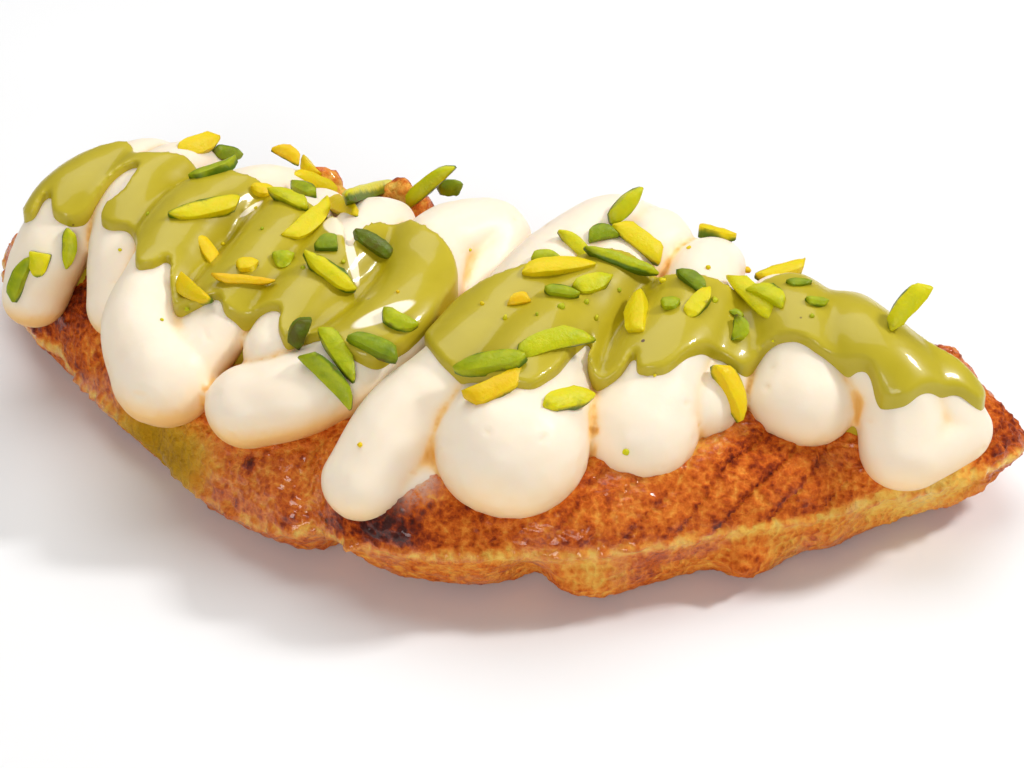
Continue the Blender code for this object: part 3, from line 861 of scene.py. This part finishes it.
def make_sauce(name, cream, outline):
    """A pool of sauce over the cream."""
    sauce = grown(cream, SAUCE_THICKNESS)
    sauce.name = name
    fuse(sauce, CREAM_VOXEL, 8)
    prism = make_prism(outline)
    combine(sauce, prism, "INTERSECT")
    fuse(sauce, SAUCE_VOXEL, 7)
    core = grown(cream, -SAUCE_SINK)
    combine(sauce, core, "DIFFERENCE")
    for helper in (prism, core):
        bpy.data.objects.remove(helper, do_unlink=True)
    return sauce


sauces = {}
for side, outline in (("left", SAUCE_LEFT), ("right", SAUCE_RIGHT)):
    sauces[side] = make_sauce("sauce_pool_" + side, piping[side], outline)
    print(side, "sauce:", len(sauces[side].data.polygons), "triangles")

# %% [markdown]
# ## Nuts
# Pistachios for desserts are cut lengthways into slivers, yellow where the knife went and green
# along the outside of the kernel. Each is a box drawn out, cut across several times, narrowed
# towards its ends, bent a little and rounded off. It lies where a ray from the camera meets
# the cream or the sauce. One that stands up leans on its lower end instead.

# %% What the nuts lie on


def tree_of(objects):
    """A search tree over several objects."""
    verts, faces = [], []
    for obj in objects:
        start = len(verts)
        verts += [vert.co.copy() for vert in obj.data.vertices]
        faces += [[start + index for index in face.vertices] for face in obj.data.polygons]
    return BVHTree.FromPolygons(verts, faces)


SURFACE = tree_of([crust, *piping.values(), *sauces.values()])
NEAR_MISS = range(int(DISTANCE) - 90, int(DISTANCE) + 90, 3)  # how far along a ray to look


def touch(px, py):
    """The point and the normal of the surface seen at a place in the picture, or beside it."""
    ray = sight(px, py)
    hit, normal, _, _ = SURFACE.ray_cast(EYE, ray)
    if hit is None:
        near = [SURFACE.find_nearest(EYE + ray * away) for away in NEAR_MISS]
        hit, normal, _, _ = min(near, key=lambda found: found[3])
    return hit, normal


print("surface seen at the picture's middle:", [round(c, 1) for c in touch(505, 375)[0]])

# %% Sliver shapes
SLIVERS = (  # from x, y to x, y in the picture, width there, colour, rind, share that it stands up
    (174, 153, 217, 138, 21, 0.35, 0.1, 0.2), (211, 153, 240, 158, 15, 1.1, 0.9, 0.2),
    (191, 180, 239, 162, 16, 1.0, 0.8, 0), (171, 221, 242, 204, 20, 0.5, 0.5, 0),
    (250, 190, 273, 192, 14, 0.3, 0, 0), (270, 190, 309, 209, 16, 0.7, 0.5, 0),
    (290, 187, 314, 199, 15, 1.0, 0.7, 0), (288, 172, 349, 197, 17, 0.4, 0.1, 0.1),
    (302, 160, 318, 178, 14, 0.3, 0, 0.2), (274, 147, 301, 162, 13, 0.2, 0.2, 0.3),
    (346, 200, 394, 186, 17, 0.6, 0.6, 0.1), (331, 203, 362, 213, 18, 0.35, 0.1, 0),
    (286, 243, 331, 204, 20, 0.5, 0.2, 0), (405, 203, 452, 162, 17, 0.8, 0.5, 0.7),
    (437, 189, 462, 187, 18, 1.2, 0.4, 0.5), (316, 244, 339, 245, 18, 1.1, 0.6, 0),
    (198, 231, 225, 277, 16, 0.28, 0.2, 0), (236, 268, 259, 265, 15, 0.35, 0.4, 0.2),
    (211, 278, 275, 284, 9, 0.15, 0.2, 0), (173, 271, 210, 303, 18, 0.3, 0.4, 0),
    (302, 255, 354, 293, 18, 0.6, 1, 0.1), (352, 232, 392, 259, 17, 1.35, 0.5, 0.2),
    (380, 315, 416, 331, 16, 0.9, 0.4, 0), (349, 333, 399, 357, 17, 1.15, 0.6, 0),
    (324, 328, 359, 380, 17, 0.9, 0.8, 0), (304, 352, 356, 405, 19, 1.0, 0.9, 0),
    (292, 345, 304, 316, 17, 1.4, 0.5, 0.5), (68, 269, 69, 228, 15, 0.8, 0.7, 0.2),
    (29, 262, 50, 266, 26, 0.6, 0.9, 0), (31, 254, 12, 300, 15, 1.0, 0.7, 0),
    (608, 222, 639, 186, 16, 0.75, 0.5, 0.42), (562, 229, 589, 261, 14, 0.65, 0.5, 0.2),
    (617, 221, 664, 259, 22, 0.45, 0.3, 0), (586, 238, 616, 232, 16, 1.1, 0.8, 0.1),
    (584, 247, 658, 273, 13, 0.9, 0.9, 0), (531, 260, 560, 257, 13, 0.9, 0.8, 0),
    (521, 272, 594, 264, 21, 0.38, 0.2, 0), (573, 290, 612, 280, 19, 0.7, 0.4, 0),
    (544, 291, 579, 297, 12, 1.0, 0.9, 0), (506, 302, 529, 298, 12, 0.15, 0.1, 0),
    (635, 296, 637, 338, 22, 0.45, 0.2, 0), (661, 306, 680, 304, 14, 1.0, 0.8, 0),
    (512, 354, 592, 333, 21, 0.8, 0.7, 0.1), (454, 374, 527, 361, 20, 0.95, 0.5, 0),
    (466, 402, 525, 376, 20, 0.22, 0.1, 0), (540, 407, 592, 395, 20, 0.6, 0.5, 0),
    (697, 230, 733, 240, 16, 0.4, 0.4, 0.1), (681, 270, 706, 293, 15, 1.15, 0.8, 0),
    (686, 319, 708, 289, 18, 0.55, 0.4, 0.1), (731, 277, 775, 320, 21, 0.6, 0.3, 0.1),
    (751, 287, 787, 306, 18, 0.75, 0.5, 0.1), (757, 281, 806, 266, 14, 0.4, 0.4, 0.2),
    (786, 283, 812, 283, 9, 1.15, 0.6, 0.1), (729, 311, 743, 316, 8, 1.0, 0.5, 0),
    (737, 343, 741, 318, 15, 1.0, 0.7, 0.2), (717, 363, 744, 419, 20, 0.28, 0.4, 0),
    (805, 302, 828, 305, 9, 1.0, 0.7, 0.1), (884, 325, 926, 281, 20, 0.65, 0.8, 0.6),
    (272, 262, 294, 262, 18, 0.9, 0.3, 0),
)
CRUMBS = (  # place in the picture, size there, colour
    (360, 445, 6, 0.3), (482, 304, 5, 0.3), (187, 309, 5, 0.8), (162, 320, 4, 0.6), (626, 452, 6, 0.7),
    (655, 375, 5, 0.4), (746, 270, 10, 0.25), (561, 307, 7, 0.9), (586, 302, 6, 0.9), (223, 244, 5, 0.5),
    (148, 214, 4, 0.9), (256, 208, 5, 0.5), (303, 268, 5, 0.9), (398, 292, 4, 0.2), (470, 250, 4, 0.7),
    (596, 318, 6, 0.7), (619, 290, 5, 0.9), (663, 281, 6, 0.5), (708, 268, 5, 0.4), (773, 341, 4, 0.6),
    (812, 316, 5, 0.9), (343, 262, 5, 0.8), (367, 349, 6, 0.7), (120, 250, 4, 0.6), (205, 208, 5, 0.9),
    (262, 229, 5, 1), (505, 318, 6, 0.7), (537, 315, 5, 0.9), (715, 300, 6, 0.8), (689, 248, 5, 0.4),
)
NUT_SEED = 7
SLIVER_THICKNESS, SLIVER_RINGS = 2.2, 8
SLIVER_TIP = 0.16  # the width of its ends, as a share
SHORTEST = 0.6  # its least length against its width
ROUGH_CUT = 0.16
SHARP_EDGE, EDGE_ROUNDING = 0.9, 0.12  # in radians, and as a share of the thickness
LEANS_ON_ITS_END = 0.35
TURNED_TO_CAMERA = 0.35
ROLL = 14  # in degrees

# %% One sliver


def cut_box():
    """A unit box cut across several times, and twice along."""
    bm = bmesh.new()
    bmesh.ops.create_cube(bm, size=1)
    for axis, cuts in ((0, SLIVER_RINGS), (1, 2)):
        edges = [e for e in bm.edges if abs(e.verts[0].co[axis] - e.verts[1].co[axis]) > 0.5]
        bmesh.ops.subdivide_edges(bm, edges=edges, cuts=cuts, use_grid_fill=True)
    return bm


def carve(bm, length, width, thickness, flip, blunt, point, draw):
    """Draws the box out, narrows and bends it, and gives back where its noise lies."""
    near, far = draw.uniform(3.0, 7.0), draw.uniform(1.5, 2.4)
    bend, straight = draw.uniform(-0.05, 0.05) * length, flip * draw.choice((-0.9, 0.3, 0.9))
    wedge, shift = draw.uniform(-0.35, 0.35), Vector(draw.uniform(0, 90, 3))
    for vert in bm.verts:
        t, across, up = 2 * vert.co
        power = near if t * point < 0 else far
        share = SLIVER_TIP + (1 - SLIVER_TIP) * max(0.0, 1 - abs(t) ** power) ** blunt
        y = 0.5 * width * (across * share + straight * (1 - share)) + bend * (1 - t * t)
        z = 0.5 * thickness * up * (0.4 + 0.6 * share) * (1 + wedge * across)
        z += 0.14 * thickness * (1 - across * across) * (up > 0)
        vert.co = (0.5 * length * t, y, z)
        vert.co += ROUGH_CUT * noise.noise_vector(0.55 * vert.co + shift)
    return shift


def colour_sliver(bm, size, colour, rind, flip, shift):
    """Stores the nut's colour, and how near each vertex is to the outside of the kernel."""
    tone = bm.verts.layers.float.new("tone")
    side = bm.verts.layers.float.new("rind")
    length, width, thickness = size
    for vert in bm.verts:
        vert[tone] = colour + 0.12 * noise.noise(0.8 * vert.co + shift)
        outer = max(0.0, flip * vert.co.y / (0.5 * width))
        low = 0.5 - vert.co.z / thickness
        ends = abs(vert.co.x) / (0.5 * length)
        green = (0.35 + 0.65 * rind) * smooth_step(low, 0.15, 0.6)
        vert[side] = min(1.0, green + (0.2 + 0.8 * rind) * (0.75 * outer ** 2 + 0.4 * ends ** 5))


def sliver_mesh(size, colour, rind, draw):
    """One sliver lying along X with its broad face up."""
    bm = cut_box()
    blunt, point, flip = draw.uniform(0.5, 0.75), draw.choice((-1, 1)), draw.choice((-1, 1))
    shift = carve(bm, *size, flip, blunt, point, draw)
    edges = [e for e in bm.edges if e.calc_face_angle(0) > SHARP_EDGE]
    bmesh.ops.bevel(bm, geom=edges, offset=EDGE_ROUNDING * size[2], segments=2, profile=0.5,
                    affect="EDGES", material=-1, offset_type="OFFSET", clamp_overlap=True)
    colour_sliver(bm, size, colour, rind, flip, shift)
    return bm


def lay(px0, py0, px1, py1, standing):
    """Both ends of a sliver, and the way its broad face looks, from its two ends in the picture."""
    middle = (0.5 * (px0 + px1), 0.5 * (py0 + py1))
    anchor, normal = touch(*((px0, py0) if standing > LEANS_ON_ITS_END else middle))
    facing = Vector((BACK.x, BACK.y, 0)).normalized()
    plane = (normal.lerp(facing, standing) + TURNED_TO_CAMERA * BACK).normalized()
    ends = []
    for px, py in ((px0, py0), (px1, py1)):
        ray = sight(px, py)
        ends.append(EYE + ray * ((anchor - EYE).dot(plane) / ray.dot(plane)))
    return ends[0], ends[1], plane


def add_sliver(total, row, draw):
    """Lays one sliver and joins it to the rest."""
    px0, py0, px1, py1, wide, colour, rind, standing = row
    tail, head, plane = lay(px0, py0, px1, py1, standing)
    along = (head - tail).normalized()
    face = (plane - plane.dot(along) * along).normalized()
    face = Matrix.Rotation(radians(draw.uniform(-ROLL, ROLL)), 3, along) @ face
    thickness = SLIVER_THICKNESS * draw.uniform(0.8, 1.1) * min(1.0, wide / 15)
    width = wide * MM_PER_PIXEL
    length = max((head - tail).length, SHORTEST * width)
    bm = sliver_mesh((length, width, thickness), colour, rind, draw)
    centre = 0.5 * (tail + head) + 0.12 * thickness * face
    axes = Matrix((along, face.cross(along), face)).transposed().to_4x4()
    bmesh.ops.transform(bm, matrix=Matrix.Translation(centre) @ axes, verts=bm.verts)
    mesh = bpy.data.meshes.new("sliver")
    bm.to_mesh(mesh)
    bm.free()
    total.from_mesh(mesh)
    bpy.data.meshes.remove(mesh)


def make_slivers():
    """All the slivers as one piece."""
    draw = np.random.default_rng(NUT_SEED)
    total = bmesh.new()
    for row in SLIVERS:
        add_sliver(total, row, draw)
    bmesh.ops.recalc_face_normals(total, faces=total.faces)
    return new_object("pistachio_slivers", total)


slivers = make_slivers()
print("slivers:", len(SLIVERS), "in", len(slivers.data.polygons), "faces")

# %% Crumbs of nut


def make_crumbs():
    """The crumbs that fell off the slivers, as small rough grains."""
    draw = np.random.default_rng(NUT_SEED + 1)
    total = bmesh.new()
    tone = total.verts.layers.float.new("tone")
    side = total.verts.layers.float.new("rind")
    for px, py, wide, colour in CRUMBS:
        spot, normal = touch(px, py)
        radius = 0.5 * wide * MM_PER_PIXEL
        size = Vector(draw.uniform(0.6, 1.3, 3)) * radius
        turn = Matrix.Rotation(draw.uniform(0, pi), 4, "X")
        turn = turn @ Matrix.Rotation(draw.uniform(0, pi), 4, "Z")
        place = Matrix.Translation(spot + 0.2 * radius * normal) @ turn @ Matrix.Diagonal((*size, 1))
        crumb = bmesh.ops.create_icosphere(total, subdivisions=2, radius=1, matrix=place)
        for vert in crumb["verts"]:
            vert.co += (vert.co - spot) * 0.35 * noise.noise(vert.co * 2.2)
            vert[tone] = colour
            vert[side] = draw.uniform(0, 0.5)
    bmesh.ops.recalc_face_normals(total, faces=total.faces)
    return new_object("pistachio_crumbs", total)


crumbs = make_crumbs()
print("crumbs:", len(CRUMBS))

# %% [markdown]
# ## Cream, sauce and nut materials
# Cream is soft and lets light in, so it has some subsurface scattering. Its creases and undersides
# are painted a warm straw shade, which stands in for light bounced between two ropes and the
# shade under them. Sauce is wet: it has a coat, a green painted darker in its hollows as shade, a
# few dark specks of nut skin, and spots so thin that cream shows through. The nuts read two
# numbers from the mesh, one for their own colour and one for how near a point is to the outside
# of the kernel.

# %% Cream material
# Lit cream first, then the warm painted shade of its creases and undersides.
CREAM_TONE_AND_SHADE = (
    (0.00, 250, 233, 210),
    (0.30, 249, 223, 186),
    (0.65, 243, 198, 128),
    (1.00, 228, 166, 78),
)


def cream_material():
    """Soft satin cream, with warm painted shade in its creases and on its undersides."""
    finish = Finish("cream", Subsurface_Weight=0.25, Subsurface_Scale=0.004, Specular_IOR_Level=0.3)
    finish.shader.inputs["Subsurface Radius"].default_value = (1.0, 0.55, 0.25)
    place = finish.place()
    crease = finish.attribute("hollow")
    clouds = finish.cloud(place, 7, 3)
    fine = finish.cloud(place, 0.9, 2)
    # Painted shade: creases and down-facing undersides turn a warm straw colour.
    tone = finish.step(crease, -0.1, 0.65) + finish.attribute("under") + 0.18 * (clouds - 0.5)
    colour = finish.ramp(tone, CREAM_TONE_AND_SHADE)
    return finish.wear(
        Base_Color=colour,
        Roughness=0.40 + 0.18 * (clouds - 0.5),
        Normal=finish.bump(0.7 * clouds + 0.3 * fine, 0.25, 0.25),
    )


# %% Sauce material
THIN_SAUCE = (  # where cream shows: place in the picture, half width, half height and turn
    (335, 226, 13, 9, 20),
    (352, 258, 5, 30, -12),
    (384, 314, 36, 8, -22),
    (251, 209, 3, 16, 55),
)
# From lighter to deeper green: random tone, and painted shade in the hollows.
SAUCE_TONE_AND_SHADE = (
    (0.00, 190, 172, 42),
    (0.45, 174, 156, 14),
    (1.00, 140, 124, 2),
)


def sauce_material():
    """Wet pistachio sauce with a few specks, its green painted darker in its hollows as shade."""
    finish = Finish("sauce", Coat_Roughness=0.06, Specular_IOR_Level=0.22, Subsurface_Weight=0.1,
                    Subsurface_Scale=0.002)
    finish.shader.inputs["Subsurface Radius"].default_value = (0.9, 1.0, 0.2)
    place = finish.place()
    clouds = finish.cloud(place, 9, 3, 0.55, 0.6)
    speck_cells = finish.cells(place, 5.5)
    chosen = finish.step(finish.cloud(place, 6.5, 0), 0.50, 0.56)
    specks = (1 - finish.step(speck_cells, 0.045, 0.075)) * chosen
    # Painted shade: the green deepens where the sauce lies in a hollow.
    tone = finish.step(finish.attribute("hollow"), -0.3, 0.7) + 0.5 * (clouds - 0.5)
    colour = finish.ramp(tone, SAUCE_TONE_AND_SHADE)
    colour = finish.mix(specks, colour, tint(92, 62, 24))
    thin = finish.step(finish.attribute("bare") + 0.3 * (clouds - 0.5), 0.35, 0.6)
    colour = finish.mix(thin, colour, tint(252, 238, 206))
    return finish.wear(
        Base_Color=colour,
        Roughness=0.34 + 0.2 * (clouds - 0.5),
        Coat_Weight=0.28 + 0.3 * (clouds - 0.5),
        Normal=finish.bump(clouds, 0.2, 0.5),
    )


# %% Nut material
NUTS = (
    (0.00, 230, 172, 10),
    (0.22, 228, 198, 6),
    (0.42, 214, 204, 6),
    (0.60, 180, 186, 8),
    (0.76, 134, 152, 8),
    (0.90, 96, 118, 6),
    (1.00, 90, 88, 8),
)


def nut_material():
    """Cut pistachio: yellow inside, green outside, with faint lines along the kernel."""
    finish = Finish("pistachio", Specular_IOR_Level=0.25, Subsurface_Weight=0.1, Subsurface_Scale=0.001)
    place = finish.place()
    grainy = finish.cloud(place, 0.7, 3, 0.6)
    clouds = finish.cloud(place, 2.6, 2)
    tone = finish.attribute("tone") * 0.7 + 0.16 * (clouds - 0.5) + 0.08 * (grainy - 0.5)
    colour = finish.ramp(tone, NUTS)
    edge = finish.step(finish.attribute("rind") + 0.5 * (clouds - 0.5), 0.35, 0.75)
    colour = finish.mix(edge, colour, tint(84, 110, 6))
    skin = finish.step(clouds + grainy, 1.12, 1.3) * finish.attribute("rind")
    colour = finish.mix(skin, colour, tint(120, 84, 48))
    return finish.wear(
        Base_Color=colour,
        Roughness=0.42 + 0.3 * (grainy - 0.5),
        Normal=finish.bump(0.6 * grainy + 0.4 * clouds, 0.7, 0.35),
    )


# %% Dress the topping


def dress(obj, material):
    """Gives the whole piece one material."""
    obj.data.materials.clear()
    obj.data.materials.append(material)


cream_finish, sauce_finish, nut_finish = cream_material(), sauce_material(), nut_material()
for side, underside_shade in (("left", 0.8), ("right", 0.5)):
    # Painted shade on the cream: crease depth, and how far each vertex faces down, stronger on the left.
    store(piping[side], "hollow", hollows(piping[side], 22))
    store(piping[side], "under", underside_shade * smooth_step(-normals_of(piping[side])[:, 2], -0.6, 0.6))
    # Painted shade on the sauce: how deep each vertex lies in a hollow.
    store(sauces[side], "hollow", hollows(sauces[side], 16))
    shown = picture_place(points_of(sauces[side]))
    store(sauces[side], "bare", sum(picture_patch(shown, *row) for row in THIN_SAUCE))
    dress(piping[side], cream_finish)
    dress(sauces[side], sauce_finish)
dress(slivers, nut_finish)
dress(crumbs, nut_finish)
print("materials done")

# %% [markdown]
# ## Bring the pieces home
# Every piece goes from millimetres to metres, rides on the one body, and hides the plain solids
# that it stands for.

# %% Finish the pieces


def bring_home(obj, slot, *nodes):
    """Scales a piece to metres, shades it smooth and ties it to the part."""
    obj.data.transform(Matrix.Scale(MM, 4) @ Matrix.Translation(CENTRING))
    obj.data.shade_smooth()
    obj.data.update()
    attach(obj, "root")
    if nodes:
        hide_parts(*nodes)


bring_home(crust, "crust", "croissant")
for side in ("left", "right"):
    bring_home(piping[side], "cream", "cream_" + side)
    bring_home(sauces[side], "sauce", "sauce_" + side)
bring_home(slivers, "pistachio")
bring_home(crumbs, "pistachio")
pieces = (crust, slivers, crumbs, *piping.values(), *sauces.values())
print("faces:", sum(len(piece.data.polygons) for piece in pieces))

# %% [markdown]
# ## Table and light
# The photograph is cut out on white, so the croissant stands on a plain pale floor. A big soft
# light overhead gives the sauce its broad sheen, a small one from the back right gives it crisp
# streaks, and one from the front opens the shadows under the cream.

# %% Floor and lights
PAINT = ((0.0, 239, 239, 239), (1.0, 243, 243, 243))
LIGHTS = (  # name, place, size and power
    ("overhead", (-0.15, 0.25, 0.75), 0.7, 4.2),
    ("streak", (0.45, 0.25, 0.50), 0.09, 2.6),
    ("front", (0.15, -0.80, 0.45), 0.35, 3.0),
)
SURROUNDINGS = 0.20


def make_floor():
    """A wide pale floor that isn't part of the object."""
    bm = bmesh.new()
    bmesh.ops.create_grid(bm, x_segments=1, y_segments=1, size=3)
    floor = new_object("floor", bm)
    finish = Finish("floor", Roughness=0.9, Specular_IOR_Level=0.1)
    paint = finish.ramp(finish.cloud(finish.place(), 60, 2), PAINT)
    floor.data.materials.append(finish.wear(Base_Color=paint))


def make_light(name, place, size, power):
    """A soft square light that looks at the croissant."""
    data = bpy.data.lights.new(name, "AREA")
    data.shape = "SQUARE"
    data.size = size
    data.energy = power
    light = bpy.data.objects.new(name, data)
    light.location = place
    light.rotation_euler = (Vector(place) - TARGET * MM).to_track_quat("Z", "Y").to_euler()
    bpy.context.scene.collection.objects.link(light)


def make_surroundings(strength):
    """An even pale light from all round."""
    world = bpy.data.worlds.new("surroundings")
    world.use_nodes = True
    background = world.node_tree.nodes["Background"]
    background.inputs["Color"].default_value = (1, 1, 1, 1)
    background.inputs["Strength"].default_value = strength
    bpy.context.scene.world = world


make_floor()
for light in LIGHTS:
    make_light(*light)
make_surroundings(SURROUNDINGS)
bpy.context.scene.view_settings.view_transform = "Standard"
print("lights done")
